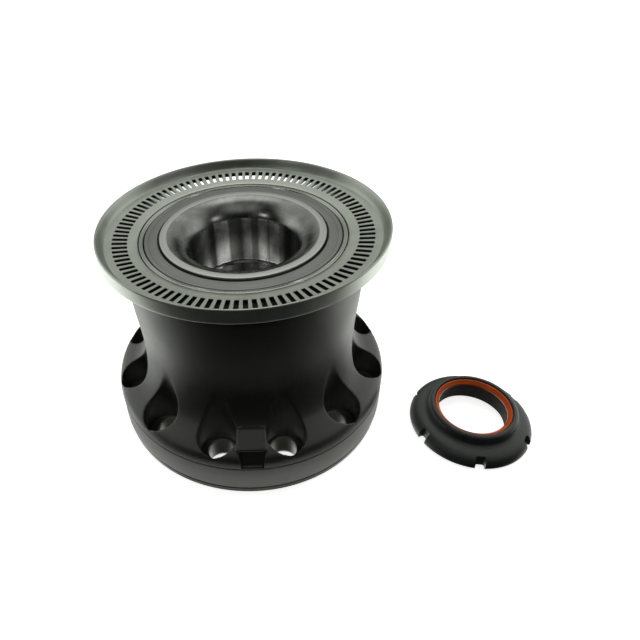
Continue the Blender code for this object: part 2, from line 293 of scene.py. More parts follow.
def turned_material(name, at, dark, light, rough, metallic, mark_scale=4200.0, mark_depth=0.00006,
                    mark_strength=0.35, cloud_scale=40.0, ior=1.6):
    """A lathe-turned or ground surface: fine marks round the axis, and faint stains across them."""
    mat, g, shader = new_material(name)
    ring = turned_coordinates(g, at)
    marks = g.noise(ring, mark_scale, 3.0, 0.7)
    bands = g.noise(ring, mark_scale * 0.11, 2.0, 0.5)
    cloud = g.noise(position(g), cloud_scale, 4.0, 0.55)
    speck = g.noise(position(g), 1500.0, 2.0, 0.5)
    tone = g.math("ADD", g.math("MULTIPLY", cloud, 0.55),
                  g.math("ADD", g.math("MULTIPLY", marks, 0.25), g.math("MULTIPLY", bands, 0.20)))
    g.put(shader.inputs["Base Color"], g.ramp(tone, [(0.32, dark), (0.66, light)]))
    g.put(shader.inputs["Roughness"],
          g.math("ADD", g.spread(cloud, 0.3, 0.7, rough - 0.04, rough + 0.05),
                 g.spread(speck, 0.3, 0.7, -0.02, 0.02)))
    shader.inputs["Metallic"].default_value = metallic
    shader.inputs["IOR"].default_value = ior
    g.put(shader.inputs["Normal"], g.bump(marks, mark_strength, mark_depth))
    return mat


def rubber_material():
    mat, g, shader = new_material("seal_rubber")
    where = position(g)
    fine = g.noise(where, 1800.0, 3.0, 0.6)
    cloud = g.noise(where, 90.0, 3.0, 0.5)
    g.put(shader.inputs["Base Color"],
          g.ramp(cloud, [(0.3, (0.006, 0.006, 0.006)), (0.7, (0.014, 0.014, 0.014))]))
    g.put(shader.inputs["Roughness"], g.spread(fine, 0.3, 0.7, 0.5, 0.68))
    g.put(shader.inputs["Normal"], g.bump(fine, 0.25, 0.0001))
    return mat


def silicone_material():
    mat, g, shader = new_material("orange_silicone")
    where = position(g)
    cloud = g.noise(where, 120.0, 4.0, 0.55)
    fine = g.noise(where, 2200.0, 2.0, 0.5)
    g.put(shader.inputs["Base Color"],
          g.ramp(cloud, [(0.3, (0.46, 0.066, 0.005)), (0.7, (0.58, 0.092, 0.008))]))
    g.put(shader.inputs["Roughness"], g.spread(fine, 0.3, 0.7, 0.34, 0.46))
    shader.inputs["IOR"].default_value = 1.35
    shader.inputs["Subsurface Weight"].default_value = 0.08
    shader.inputs["Subsurface Scale"].default_value = 0.0015
    g.put(shader.inputs["Normal"], g.bump(fine, 0.15, 0.00008))
    return mat


def sensor_material():
    """Passivated pressed steel: pale grey-green, satin, with faint drawing marks and stains; the slot walls
    are painted near-black as painted shade.
    """
    mat, g, shader = new_material("sensor_ring_steel")
    where = position(g)
    ring = turned_coordinates(g, HUB_AT)
    cloud = g.noise(where, 55.0, 5.0, 0.6)
    marks = g.noise(ring, 2600.0, 2.0, 0.6)
    fine = g.noise(where, 1400.0, 3.0, 0.6)
    color = g.ramp(cloud, [(0.28, (0.30, 0.320, 0.290)), (0.72, (0.39, 0.412, 0.372))])
    color = g.mix(g.spread(marks, 0.4, 0.7, 0.0, 0.35), color, rgb(0.40, 0.42, 0.385))
    split = g.node("ShaderNodeSeparateXYZ")
    g.put(split.inputs[0], ring)
    r, z = split.outputs["X"], split.outputs["Y"]
    # painted shade: the slot walls, below the plate's top within the slotted band, are painted near-black
    top = g.spread(r, PLATE_IN_R * MM, PLATE_OUT_R * MM, PLATE_IN_Z * MM, PLATE_OUT_Z * MM)
    below = g.spread(g.math("SUBTRACT", top, z), 0.0002, 0.0006, 0.0, 1.0)
    slotted = g.math("MULTIPLY", g.spread(r, (SLOT_IN_R - 0.3) * MM, (SLOT_IN_R - 0.1) * MM, 0.0, 1.0),
                     g.spread(r, (SLOT_OUT_R + 0.1) * MM, (SLOT_OUT_R + 0.4) * MM, 1.0, 0.0))
    color = g.mix(g.math("MULTIPLY", below, slotted), color, rgb(0.045, 0.048, 0.043))
    g.put(shader.inputs["Base Color"], color)
    g.put(shader.inputs["Roughness"],
          g.math("ADD", g.spread(cloud, 0.3, 0.7, 0.34, 0.44), g.spread(fine, 0.3, 0.7, -0.04, 0.04)))
    shader.inputs["Metallic"].default_value = 0.8
    normal = g.bump(marks, 0.2, 0.00005)
    g.put(shader.inputs["Normal"], g.bump(fine, 0.12, 0.00008, normal))
    return mat


# ------------------------------------------------------------------ mesh helpers
def on_hub(r, angle, z):
    return (HUB_AT[0] + r * math.cos(angle) * MM, HUB_AT[1] + r * math.sin(angle) * MM, z * MM)


def make_object(name, mesh, mats, angle=32.0):
    for mat in mats if isinstance(mats, (list, tuple)) else [mats]:
        mesh.materials.append(mat)
    mesh.shade_smooth()
    mesh.set_sharp_from_angle(angle=math.radians(angle))
    obj = bpy.data.objects.new(name, mesh)
    bpy.context.scene.collection.objects.link(obj)
    return obj


def place(obj, body, slot, *nodes):
    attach(obj, body)
    if nodes:
        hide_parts(*nodes)
    return obj


def filleted(points, segments=5):
    """A closed outline with its corners rounded: a point is (r, z) or (r, z, radius)."""
    out = []
    count = len(points)
    for i, point in enumerate(points):
        here = np.array(point[:2], float)
        radius = point[2] if len(point) > 2 else 0.0
        if radius <= 0.0:
            out.append(tuple(here))
            continue
        before = np.array(points[i - 1][:2], float) - here
        after = np.array(points[(i + 1) % count][:2], float) - here
        la, lb = np.linalg.norm(before), np.linalg.norm(after)
        a, b = before / la, after / lb
        half = math.acos(max(-1.0, min(1.0, float(a @ b)))) / 2
        if half > math.radians(88.5):
            out.append(tuple(here))
            continue
        reach = min(radius / math.tan(half), 0.48 * la, 0.48 * lb)
        radius = reach * math.tan(half)
        middle = here + (a + b) / np.linalg.norm(a + b) * (radius / math.sin(half))
        start, end = here + a * reach, here + b * reach
        s_angle = math.atan2(*(start - middle)[::-1])
        e_angle = math.atan2(*(end - middle)[::-1])
        turn = (e_angle - s_angle + math.pi) % (2 * math.pi) - math.pi
        for k in range(segments + 1):
            t = s_angle + turn * k / segments
            out.append((middle[0] + radius * math.cos(t), middle[1] + radius * math.sin(t)))
    return out


def smooth_curve(points, per_span=6):
    """A Catmull-Rom curve through the points, ends included."""
    p = [np.array(q, float) for q in points]
    p = [2 * p[0] - p[1]] + p + [2 * p[-1] - p[-2]]
    out = []
    for i in range(1, len(p) - 2):
        for k in range(per_span):
            t = k / per_span
            a, b, c, d = p[i - 1], p[i], p[i + 1], p[i + 2]
            out.append(tuple(0.5 * (2 * b + (c - a) * t + (2 * a - 5 * b + 4 * c - d) * t * t
                                    + (3 * b - a - 3 * c + d) * t ** 3)))
    out.append(tuple(p[-2]))
    return out


def arc_between(start, end, start_dir, segments=10):
    """Points on the circle from start to end that leaves start in the direction start_dir (degrees)."""
    s, e = np.array(start, float), np.array(end, float)
    chord = e - s
    along = math.atan2(chord[1], chord[0])
    swing = along - math.radians(start_dir)
    radius = np.linalg.norm(chord) / (2 * math.sin(swing))
    normal = np.array([-math.sin(math.radians(start_dir)), math.cos(math.radians(start_dir))])
    middle = s + normal * radius
    a0 = math.atan2(*(s - middle)[::-1])
    return [(middle[0] + abs(radius) * math.cos(a0 + 2 * swing * k / segments),
             middle[1] + abs(radius) * math.sin(a0 + 2 * swing * k / segments)) for k in range(segments + 1)]


def revolve_into(bm, points, steps, at, closed=True):
    """Adds a surface of revolution; points run down the outside first when closed."""
    rings = []
    for k in range(steps):
        a = 2 * math.pi * k / steps
        c, s = math.cos(a), math.sin(a)
        rings.append([bm.verts.new((at[0] + r * c * MM, at[1] + r * s * MM, z * MM)) for r, z in points])
    count = len(points)
    for k in range(steps):
        a, b = rings[k], rings[(k + 1) % steps]
        for i in range(count if closed else count - 1):
            j = (i + 1) % count
            bm.faces.new((a[i], a[j], b[j], b[i]))


def lathe(name, points, mats, at=HUB_AT, steps=192, angle=32.0):
    mesh = bpy.data.meshes.new(name)
    bm = bmesh.new()
    revolve_into(bm, points, steps, at)
    bmesh.ops.recalc_face_normals(bm, faces=bm.faces)
    bm.to_mesh(mesh)
    bm.free()
    return make_object(name, mesh, mats, angle)


def mirrored(points):
    return [(p[0], 2 * JOINT_Z - p[1], *p[2:]) for p in reversed(points)]


# ------------------------------------------------------------------ hub casting
HUB_FLANK = [
    (72.2, 141.2), (74.9, 138.4), (77.0, 134.0), (78.2, 127.0), (78.5, 116.0), (78.2, 104.0), (77.5, 94.0),
    (76.7, 84.0), (76.3, 74.0), (76.5, 65.0), (77.6, 57.0), (79.6, 50.2), (82.8, 45.2), (87.2, 42.0),
    (92.0, 40.0), (95.8, 38.2), (98.4, 35.9), (99.7, 32.8), (100.0, 29.6), (99.9, 27.4), (99.3, 26.4),
]
CAST_BORE = [
    (66.2, 0.0), (64.6, 1.6), (64.3, 4.0), (64.3, 91.2), (58.0, 91.2), (58.0, 102.8), (64.3, 102.8),
    (64.3, 141.2),
]


def section_outline():
    flank = smooth_curve(HUB_FLANK, 6)
    foot = [(98.6, 26.2), (98.6, 6.0), (94.6, 5.5), (94.6, 1.4), (93.8, 0.3), (93.0, 0.0)]
    return np.array(flank + foot + CAST_BORE)


def outline_distance(outline, r, z):
    """Signed distance in the (r, z) plane to a closed outline, negative inside, on a grid of points."""
    best = np.full(r.shape, 1e9)
    inside = np.zeros(r.shape, bool)
    count = len(outline)
    for i in range(count):
        ar, az = outline[i]
        br, bz = outline[(i + 1) % count]
        er, ez = br - ar, bz - az
        squared = er * er + ez * ez
        if squared < 1e-12:
            continue
        t = np.clip(((r - ar) * er + (z - az) * ez) / squared, 0, 1)
        best = np.minimum(best, np.hypot(r - ar - t * er, z - az - t * ez))
        crosses = (az > z) != (bz > z)
        if ez != 0:
            inside ^= crosses & (r < ar + (z - az) * er / ez)
    return np.where(inside, -best, best)


class SectionField:
    """The hub section's signed distance, read from a fine table."""

    def __init__(self, step=0.25):
        self.r0, self.z0, self.step = 54.0, -4.0, step
        rs = np.arange(self.r0, 106.0, step)
        zs = np.arange(self.z0, 147.0, step)
        rr, zz = np.meshgrid(rs, zs, indexing="ij")
        self.table = outline_distance(section_outline(), rr, zz)

    def __call__(self, r, z):
        fr = np.clip((r - self.r0) / self.step, 0, self.table.shape[0] - 1.001)
        fz = np.clip((z - self.z0) / self.step, 0, self.table.shape[1] - 1.001)
        i, j = fr.astype(int), fz.astype(int)
        u, v = fr - i, fz - j
        t = self.table
        return ((1 - u) * (1 - v) * t[i, j] + u * (1 - v) * t[i + 1, j]
                + (1 - u) * v * t[i, j + 1] + u * v * t[i + 1, j + 1])


def smooth_max(a, b, k):
    h = np.clip(0.5 + 0.5 * (a - b) / k, 0, 1)
    return b + (a - b) * h + k * h * (1 - h)


def smooth_min(a, b, k):
    return -smooth_max(-a, -b, k)


def box_distance(x, y, z, hx, hy, hz, rounding):
    qx, qy, qz = np.abs(x) - hx + rounding, np.abs(y) - hy + rounding, np.abs(z) - hz + rounding
    outside = np.sqrt(np.maximum(qx, 0) ** 2 + np.maximum(qy, 0) ** 2 + np.maximum(qz, 0) ** 2)
    return outside + np.minimum(np.maximum(qx, np.maximum(qy, qz)), 0) - rounding


SECTION = SectionField()


def hub_field(angle, r, z):
    """Distance-like field of the casting at an angle counted from -Y, negative inside."""
    body = SECTION(r, z)
    sector = 2 * math.pi / BOLTS
    local = (angle % sector) - sector / 2
    u, v = r * np.cos(local), r * np.sin(local)
    # the marking pad, tilted with the flare, between the two front pockets
    front = (angle + math.pi) % (2 * math.pi) - math.pi
    fx, fy = r * np.sin(front), r * np.cos(front)
    dy, dz = fy - PAD_OUT, z - PAD_Z
    py = dy * math.cos(PAD_TILT) - dz * math.sin(PAD_TILT)
    pz = dy * math.sin(PAD_TILT) + dz * math.cos(PAD_TILT)
    pad = box_distance(fx, py, pz + 5.0, 9.9, 7.7, 5.0, 2.0)
    field = smooth_min(body, pad, 1.2)
    # the recess below the pad, narrower towards the bottom
    ry, rz = fy - RECESS_OUT, z - RECESS_Z
    c, s = RECESS_LEAN
    deep, along = ry * c + rz * s, ry * s - rz * c
    recess = box_distance(fx, deep, along, 7.7 - 0.12 * along, 6.2, 6.8, 1.6)
    field = smooth_max(field, -recess, 1.0)
    # pockets with level floors
    side = np.hypot(u - POCKET_AT_R - POCKET_LEAN * (z - POCKET_FLOOR_Z), v) - POCKET_R
    pocket = smooth_max(side * 0.985, POCKET_FLOOR_Z - z, 1.6)
    field = smooth_max(field, -pocket, 1.0)
    relief = RELIEF_SLOPE * np.maximum(RELIEF_Z - z, 0.0)
    hole = np.maximum(np.hypot(u - BOLT_R, v) - BOLT_HOLE_R - relief, z - POCKET_FLOOR_Z - 8.0)
    return smooth_max(field, -hole, 0.9)


def surface_net(field, phis, rs, zs):
    """Vertices and quads of the zero surface of a field on a grid of angle, radius and height."""
    pp, rr, zz = np.meshgrid(phis, rs, zs, indexing="ij")
    value = field(pp, rr, zz).astype(np.float32)
    value = np.concatenate([value, value[:1]], 0)
    n_phi, n_r, n_z = len(phis), len(rs), len(zs)
    dphi, dr, dz = phis[1] - phis[0], rs[1] - rs[0], zs[1] - zs[0]
    solid = value < 0
    corners = [(a, b, c) for a in (0, 1) for b in (0, 1) for c in (0, 1)]
    total = sum(solid[a:a + n_phi, b:b + n_r - 1, c:c + n_z - 1].astype(np.int8) for a, b, c in corners)
    active = (total > 0) & (total < 8)
    ci, cj, ck = np.nonzero(active)
    index = np.full(active.shape, -1, np.int64)
    index[ci, cj, ck] = np.arange(len(ci))
    offset = np.zeros((len(ci), 3))
    hits = np.zeros(len(ci))
    for a in corners:
        for axis in range(3):
            if a[axis]:
                continue
            b = tuple(1 if k == axis else a[k] for k in range(3))
            fa = value[ci + a[0], cj + a[1], ck + a[2]].astype(float)
            fb = value[ci + b[0], cj + b[1], ck + b[2]].astype(float)
            cut = (fa < 0) != (fb < 0)
            t = np.where(cut, fa / np.where(cut, fa - fb, 1.0), 0.0)
            for k in range(3):
                offset[:, k] += np.where(cut, a[k] + (t if k == axis else 0.0), 0.0)
            hits += cut
    offset /= hits[:, None]
    phi = phis[0] + (ci + offset[:, 0]) * dphi
    r = rs[0] + (cj + offset[:, 1]) * dr
    z = zs[0] + (ck + offset[:, 2]) * dz
    quads = []
    # edges along the radius, the height and the angle that cross the surface
    for axis in (1, 2, 0):
        if axis == 0:
            a, b = solid[:n_phi, 1:-1, 1:-1], solid[1:, 1:-1, 1:-1]
            i, j, k = np.nonzero(a != b)
            j, k = j + 1, k + 1
            flip = a[i, j - 1, k - 1]
            around = [index[i, j - 1, k - 1], index[i, j, k - 1], index[i, j, k], index[i, j - 1, k]]
        elif axis == 1:
            a, b = solid[:n_phi, :-1, 1:-1], solid[:n_phi, 1:, 1:-1]
            i, j, k = np.nonzero(a != b)
            k = k + 1
            flip = a[i, j, k - 1]
            back = (i - 1) % n_phi
            around = [index[back, j, k - 1], index[back, j, k], index[i, j, k], index[i, j, k - 1]]
        else:
            a, b = solid[:n_phi, 1:-1, :-1], solid[:n_phi, 1:-1, 1:]
            i, j, k = np.nonzero(a != b)
            j = j + 1
            flip = a[i, j - 1, k]
            back = (i - 1) % n_phi
            around = [index[back, j - 1, k], index[i, j - 1, k], index[i, j, k], index[back, j, k]]
        quad = np.stack(around, 1)
        quad[~flip] = quad[~flip][:, ::-1]
        quads.append(quad)
    return phi, r, z, np.concatenate(quads)


def pull_to_surface(field, phi, r, z, rounds=4):
    """Newton steps along the field's gradient, in the local frame of angle, radius and height."""
    e = 0.05
    for _ in range(rounds):
        f = field(phi, r, z)
        gr = (field(phi, r + e, z) - field(phi, r - e, z)) / (2 * e)
        gz = (field(phi, r, z + e) - field(phi, r, z - e)) / (2 * e)
        gt = (field(phi + e / r, r, z) - field(phi - e / r, r, z)) / (2 * e)
        size = np.maximum(gr * gr + gz * gz + gt * gt, 0.2)
        step = np.clip(f / size, -0.6, 0.6)
        r, z, phi = r - step * gr, z - step * gz, phi - step * gt / r
    return phi, r, z


def make_casting(mat):
    turns, cell = ((720, 0.9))
    phis = np.arange(turns) * (2 * math.pi / turns)
    rs = np.arange(56.0, 102.0, cell)
    zs = np.arange(-2.0, 144.0, cell)
    phi, r, z, quads = surface_net(hub_field, phis, rs, zs)
    phi, r, z = pull_to_surface(hub_field, phi, r, z)
    z = np.maximum(z, 0.0)
    r = np.minimum(r, FLANGE_R)
    x, y = r * np.sin(phi), -r * np.cos(phi)
    points = np.stack([HUB_AT[0] + x * MM, HUB_AT[1] + y * MM, z * MM], 1)
    mesh = bpy.data.meshes.new("hub_casting")
    mesh.from_pydata(points.tolist(), [], quads.tolist())
    mesh.validate()
    bm = bmesh.new()
    bm.from_mesh(mesh)
    bmesh.ops.recalc_face_normals(bm, faces=bm.faces)
    bm.to_mesh(mesh)
    bm.free()
    mesh.update()
    obj = make_object("hub_casting", mesh, mat, 60.0)
    return place(obj, "hub_side", "phosphated_iron", "hub")


def make_hub_turned_ends(mat, lip_mat):
    """The machined flange rim with its spigot, and the turned lip round the seal."""
    rim = filleted([
        (99.0, 26.5), (99.6, 26.5, 0.5), (FLANGE_R, 25.9, 0.4), (FLANGE_R, 7.1, 0.3), (99.7, 6.5, 0.2),
        (96.4, 6.3), (96.4, 4.6), (99.3, 4.4, 0.3), (99.3, 1.4, 0.6), (97.8, 0.0, 0.6), (93.4, 0.0),
        (93.4, 6.0), (95.8, 14.0), (98.2, 20.0),
    ], 4)
    obj = lathe("hub_flange_rim", rim, mat, steps=288)
    place(obj, "hub_side", "phosphated_iron")
    lip = filleted([
        (66.9, 143.3, 0.5), (67.3, 142.4, 0.3), (67.3, 138.0), (64.0, 138.0), (64.0, 142.3, 0.4),
        (64.6, 143.3, 0.4), (65.0, 143.3, 0.2), (65.3, 142.9, 0.2), (65.9, 142.9, 0.2), (66.2, 143.3, 0.2),
    ], 4)
    obj = lathe("hub_lip", lip, lip_mat, steps=256)
    place(obj, "hub_side", "phosphated_iron")


# ------------------------------------------------------------------ sensor ring
def plate_top(r):
    return PLATE_IN_Z + (r - PLATE_IN_R) * (PLATE_OUT_Z - PLATE_IN_Z) / (PLATE_OUT_R - PLATE_IN_R)


def plate_under(r):
    return 141.7 + (r - PLATE_IN_R) * (142.9 - 141.7) / (RIM_R - PLATE_IN_R)


def slot_outline(grow):
    """Sixteen points round one slot as (sideways, radius) pairs, grown outwards by a bevel."""
    half, low, high, corner = SLOT_HALF + grow, SLOT_IN_R - grow, SLOT_OUT_R + grow, 0.45 + grow
    middle = (low + high) / 2
    sides = [
        ((0.0, low), half - corner, low + corner), ((half, middle), half - corner, high - corner),
        ((0.0, high), -half + corner, high - corner), ((-half, middle), -half + corner, low + corner),
    ]
    points = []
    for i, (side_middle, cx, cz) in enumerate(sides):
        turns = [math.radians(90 * i - 90 + 45 * k) for k in range(3)]
        points.append(side_middle)
        points += [(cx + corner * math.cos(t), cz + corner * math.sin(t)) for t in turns]
    return points


def sector_frame():
    """The sector's own border, as (angle, radius) pairs that match slot_outline point by point."""
    w, low, high = math.pi / SLOTS, *PLATE_SPAN
    rs = [low + (high - low) * k / 4 for k in range(5)]
    right = [(w, r) for r in rs]
    left = [(-w, r) for r in reversed(rs)]
    return [(0, low), (w / 2, low), *right, (w / 2, high), (0, high), (-w / 2, high), *left, (-w / 2, low)]


def sector_verts(bm, middle, loop, height, angular):
    """One loop's vertices: its first values are angles when angular is set, otherwise sideways lengths."""
    return [bm.verts.new(on_hub(r, middle + (a if angular else a / r), height(r))) for a, r in loop]


def make_sensor_ring(mat):
    mesh = bpy.data.meshes.new("sensor_ring")
    bm = bmesh.new()
    frame_loop = sector_frame()
    edge, body = slot_outline(0.16), slot_outline(0.0)
    for s in range(SLOTS):
        middle = 2 * math.pi * (s + SLOT_PHASE) / SLOTS
        loops = [sector_verts(bm, middle, *loop) for loop in (
            (frame_loop, plate_top, True), (edge, plate_top, False),
            (body, lambda r: plate_top(r) - 0.16, False), (body, lambda r: plate_under(r) + 0.12, False),
            (edge, plate_under, False), (frame_loop, plate_under, True),
        )]
        for a, b in zip(loops, loops[1:]):
            for i in range(len(edge)):
                j = (i + 1) % len(edge)
                bm.faces.new((a[i], a[j], b[j], b[i]))
    inner, outer = PLATE_SPAN
    rim = [(outer, plate_top(outer)), (86.9, plate_top(86.9))]
    rim += smooth_curve([
        (87.6, plate_top(87.6) - 0.02), (88.3, 146.05), (88.9, 146.5), (89.5, 147.4), (90.3, 149.2),
        (91.0, 150.9), (91.5, 151.9), (92.1, 152.42), (92.6, 152.47), (93.05, 152.24), (93.28, 151.6),
        (RIM_R, 150.6),
    ], 2)
    rim += [
        (RIM_R, 148.0), (RIM_R, 144.2), (93.22, 143.4), (92.9, 142.96), (92.3, 142.87),
        (89.0, plate_under(89.0)), (outer, plate_under(outer)),
    ]
    revolve_into(bm, rim, 4 * SLOTS, HUB_AT, closed=False)
    hub_edge = [
        (inner, plate_under(inner)), (70.0, plate_under(70.0)), (68.0, 141.72), (67.7, 141.9),
        (67.62, 142.3), (67.62, 143.1), (67.75, 143.45), (68.1, 143.66), (70.0, plate_top(70.0)),
        (inner, plate_top(inner)),
    ]
    revolve_into(bm, hub_edge, 4 * SLOTS, HUB_AT, closed=False)
    bmesh.ops.remove_doubles(bm, verts=bm.verts, dist=0.00001)
    bmesh.ops.recalc_face_normals(bm, faces=bm.faces)
    bm.to_mesh(mesh)
    bm.free()
    obj = make_object("sensor_ring", mesh, mat, 38.0)
    return place(obj, "hub_side", "sensor_ring_steel", "abs_sensor_ring")


# ------------------------------------------------------------------ bearing
ROW_Z = JOINT_Z + ROW_OFFSET


def inner_race(z):
    return (z - ROW_Z + APEX_DROP) * math.tan(TILT - HALF_ANGLE) - 0.15


def outer_race(z):
    return (z - ROW_Z + APEX_DROP) * math.tan(TILT + HALF_ANGLE) + 0.15


def rib_z(r):
    return ROW_Z + (ROLLER_LEN / 2 + 0.2 - (r - PITCH_R) * math.sin(TILT)) / math.cos(TILT)


def inner_outline(mouth):
    return filleted([
        (53.9, FACE_Z, 0.5), (53.9, rib_z(50.5) + 2.0, 0.6), (50.5, rib_z(50.5), 0.4), (45.3, rib_z(45.3)),
        (44.7, rib_z(44.7) - 0.8), (inner_race(ROW_Z + 14), ROW_Z + 14),
        (inner_race(ROW_Z - 13), ROW_Z - 13),
        (38.9, ROW_Z - 14.6), (40.6, ROW_Z - 15.0, 0.3), (40.6, JOINT_Z + 4.0, 0.2), (39.4, JOINT_Z + 4.0),
        (39.4, JOINT_Z + 0.15), (36.5, JOINT_Z + 0.15, 0.2), (BORE_R, JOINT_Z + 1.9, 0.3),
    ] + mouth, 4)


def make_inner_rings(mat):
    curve = arc_between((BORE_R + 0.2, 132.9), (49.2, FACE_Z - 0.05), 66.0, 14)
    mouth = [(BORE_R, 132.0, 0.3)] + curve + [(49.5, FACE_Z)]
    obj = lathe("inner_ring_cone_inboard", inner_outline(mouth), mat, steps=240)
    place(obj, "inner_rings", "bearing_steel", "inner_ring_inboard")
    plain = [(BORE_R, FACE_Z - 2.0, 0.6), (BORE_R + 2.0, FACE_Z, 0.6)]
    obj = lathe("inner_ring_cone_outboard", mirrored(inner_outline(plain)), mat, steps=192)
    place(obj, "inner_rings", "bearing_steel", "inner_ring_outboard")


def make_outer_rings(mat):
    low, high = JOINT_Z + 6.1, ROW_Z + 15.6
    outline = filleted([
        (63.7, high, 0.6), (63.7, low + 1.5, 0.4), (62.2, low, 0.4), (outer_race(low), low, 0.4),
        (outer_race(high), high, 0.4),
    ], 4)
    for name, points in (("inboard", outline), ("outboard", mirrored(outline))):
        obj = lathe("outer_ring_cup_" + name, points, mat)
        place(obj, "hub_side", "outer_ring_steel", "outer_ring_" + name)


def make_clip(mat):
    outline = filleted([(40.7, JOINT_Z + 3.6, 0.3), (40.7, JOINT_Z - 3.6, 0.3), (39.7, JOINT_Z - 3.6, 0.3),
                        (39.7, JOINT_Z + 3.6, 0.3)], 3)
    obj = lathe("joint_clip_band", outline, mat, steps=96)
    place(obj, "inner_rings", "clip_steel", "inner_ring_joint_clip")


def roller_mesh():
    """A crowned tapered roller, large end up, with rounded ends and a shallow dimple in each face."""
    half, grow = ROLLER_LEN / 2, ROLLER_LEN / 2 * math.tan(HALF_ANGLE)
    big, small = ROLLER_R + grow, ROLLER_R - grow
    points = [
        (0.0, half - 0.35), (2.4, half - 0.35), (3.0, half), (big - 0.9, half), (big - 0.35, half - 0.15),
        (big - 0.08, half - 0.6), (big - 0.01, half - 1.4), (ROLLER_R, 0.0), (small - 0.01, -half + 1.4),
        (small - 0.08, -half + 0.6), (small - 0.35, -half + 0.15), (small - 0.9, -half), (2.6, -half),
        (2.0, -half + 0.3), (0.0, -half + 0.3),
    ]
    mesh = bpy.data.meshes.new("tapered_roller")
    bm = bmesh.new()
    revolve_into(bm, points, 32, (0.0, 0.0), closed=False)
    bmesh.ops.remove_doubles(bm, verts=bm.verts, dist=0.000001)
    bmesh.ops.recalc_face_normals(bm, faces=bm.faces)
    bm.to_mesh(mesh)
    bm.free()
    return mesh


def make_rollers(mat):
    base = roller_mesh()
    base.materials.append(mat)
    base.shade_smooth()
    base.set_sharp_from_angle(angle=math.radians(40))
    for row, side in (("inboard", 1), ("outboard", -1)):
        flip = Matrix.Rotation(math.pi if side < 0 else 0.0, 4, "X")
        for i in range(ROLLERS):
            node = f"roller_{row}_{i + 1:02d}"
            obj = bpy.data.objects.new(f"tapered_{node}", base)
            bpy.context.scene.collection.objects.link(obj)
            spot = (Matrix.Translation((*HUB_AT, 0.0))
                    @ Matrix.Rotation(2 * math.pi * i / ROLLERS, 4, "Z")
                    @ Matrix.Translation((PITCH_R * MM, 0.0, (JOINT_Z + side * ROW_OFFSET) * MM)))
            obj.matrix_world = spot @ flip @ Matrix.Rotation(TILT, 4, "Y")
            place(obj, node, "roller_steel", node)


def cage_middle(z):
    return PITCH_R + CAGE_OUT + (z - ROW_Z) * math.tan(TILT)


def cage_into(bm, side):
    """A pressed cage: a cone wall with one window for each roller, and an inturned foot."""
    low, high, wall = ROW_Z - 17.2, ROW_Z + 16.0, 0.65
    gap_low, gap_high = ROW_Z - 14.9, ROW_Z + 13.2
    heights = [low + 1.4, gap_low, gap_low + 1.2, ROW_Z, gap_high - 1.2, gap_high, high]

    def open_half(z):
        """Half the width of a roller, with its clearance, where it passes through the cage's wall."""
        along = (z - ROW_Z) / math.cos(TILT)
        r = ROLLER_R + along * math.tan(HALF_ANGLE) + 0.3
        return math.sqrt(max(r * r - CAGE_OUT ** 2, 0.0))

    def vert(r, a, z):
        zz = z if side > 0 else 2 * JOINT_Z - z
        return bm.verts.new(on_hub(r, a, zz))

    sector = 2 * math.pi / ROLLERS
    # window columns: the four middle columns of each sector are open between the bands
    columns = []
    for z in heights:
        r = cage_middle(z)
        w = open_half(z) / r
        rest = sector / 2 - w
        cuts = [-sector / 2, -w - rest * 0.35, -w, -w * 0.5, 0.0, w * 0.5, w, w + rest * 0.35]
        columns.append(cuts)
    is_open = [False, False, True, True, True, True, False, False]
    total = len(is_open) * ROLLERS
    rows = {}
    for layer, offset in (("out", wall), ("in", -wall)):
        for h, z in enumerate(heights):
            rows[layer, h] = [vert(cage_middle(z) + offset, s * sector + c, z)
                              for s in range(ROLLERS) for c in columns[h]]

    def opened(h, k):
        return 1 <= h <= 4 and is_open[k % len(is_open)]

    for h in range(len(heights) - 1):
        for k in range(total):
            n = (k + 1) % total
            if opened(h, k):
                continue
            o, i = rows["out", h], rows["in", h]
            o2, i2 = rows["out", h + 1], rows["in", h + 1]
            bm.faces.new((o[k], o[n], o2[n], o2[k]))
            bm.faces.new((i[k], i2[k], i2[n], i[n]))
            if opened(h, k - 1):
                bm.faces.new((o[k], o2[k], i2[k], i[k]))
            if opened(h, k + 1):
                bm.faces.new((o[n], i[n], i2[n], o2[n]))
            if 1 <= h + 1 <= 4 and opened(h + 1, k):
                bm.faces.new((o2[k], o2[n], i2[n], i2[k]))
            if h >= 1 and opened(h - 1, k):
                bm.faces.new((o[k], i[k], i[n], o[n]))
    top = len(heights) - 1
    for k in range(total):
        n = (k + 1) % total
        bm.faces.new((rows["out", top][k], rows["out", top][n], rows["in", top][n], rows["in", top][k]))
    # foot turned inwards
    r_low = cage_middle(low)
    foot = [
        (r_low + wall, low + 0.9), (r_low + wall - 0.5, low + 0.1), (r_low + wall - 1.0, low),
        (r_low - 3.6, low), (r_low - 4.1, low + 0.4), (r_low - 3.9, low + 1.0), (r_low - 2.0, low + 1.2),
    ]
    previous = rows["out", 0]
    for r, z in foot:
        row = [vert(r, s * sector + c, z) for s in range(ROLLERS) for c in columns[0]]
        for k in range(total):
            n = (k + 1) % total
            bm.faces.new((previous[k], row[k], row[n], previous[n]))
        previous = row
    row = rows["in", 0]
    for k in range(total):
        n = (k + 1) % total
        bm.faces.new((previous[k], row[k], row[n], previous[n]))


def make_cages(mat):
    for row, side in (("inboard", 1), ("outboard", -1)):
        mesh = bpy.data.meshes.new("pressed_cage_" + row)
        bm = bmesh.new()
        cage_into(bm, side)
        bmesh.ops.recalc_face_normals(bm, faces=bm.faces)
        bm.to_mesh(mesh)
        bm.free()
        obj = make_object("pressed_cage_" + row, mesh, mat, 40.0)
        place(obj, "cage_" + row, "cage_steel", "cage_" + row)


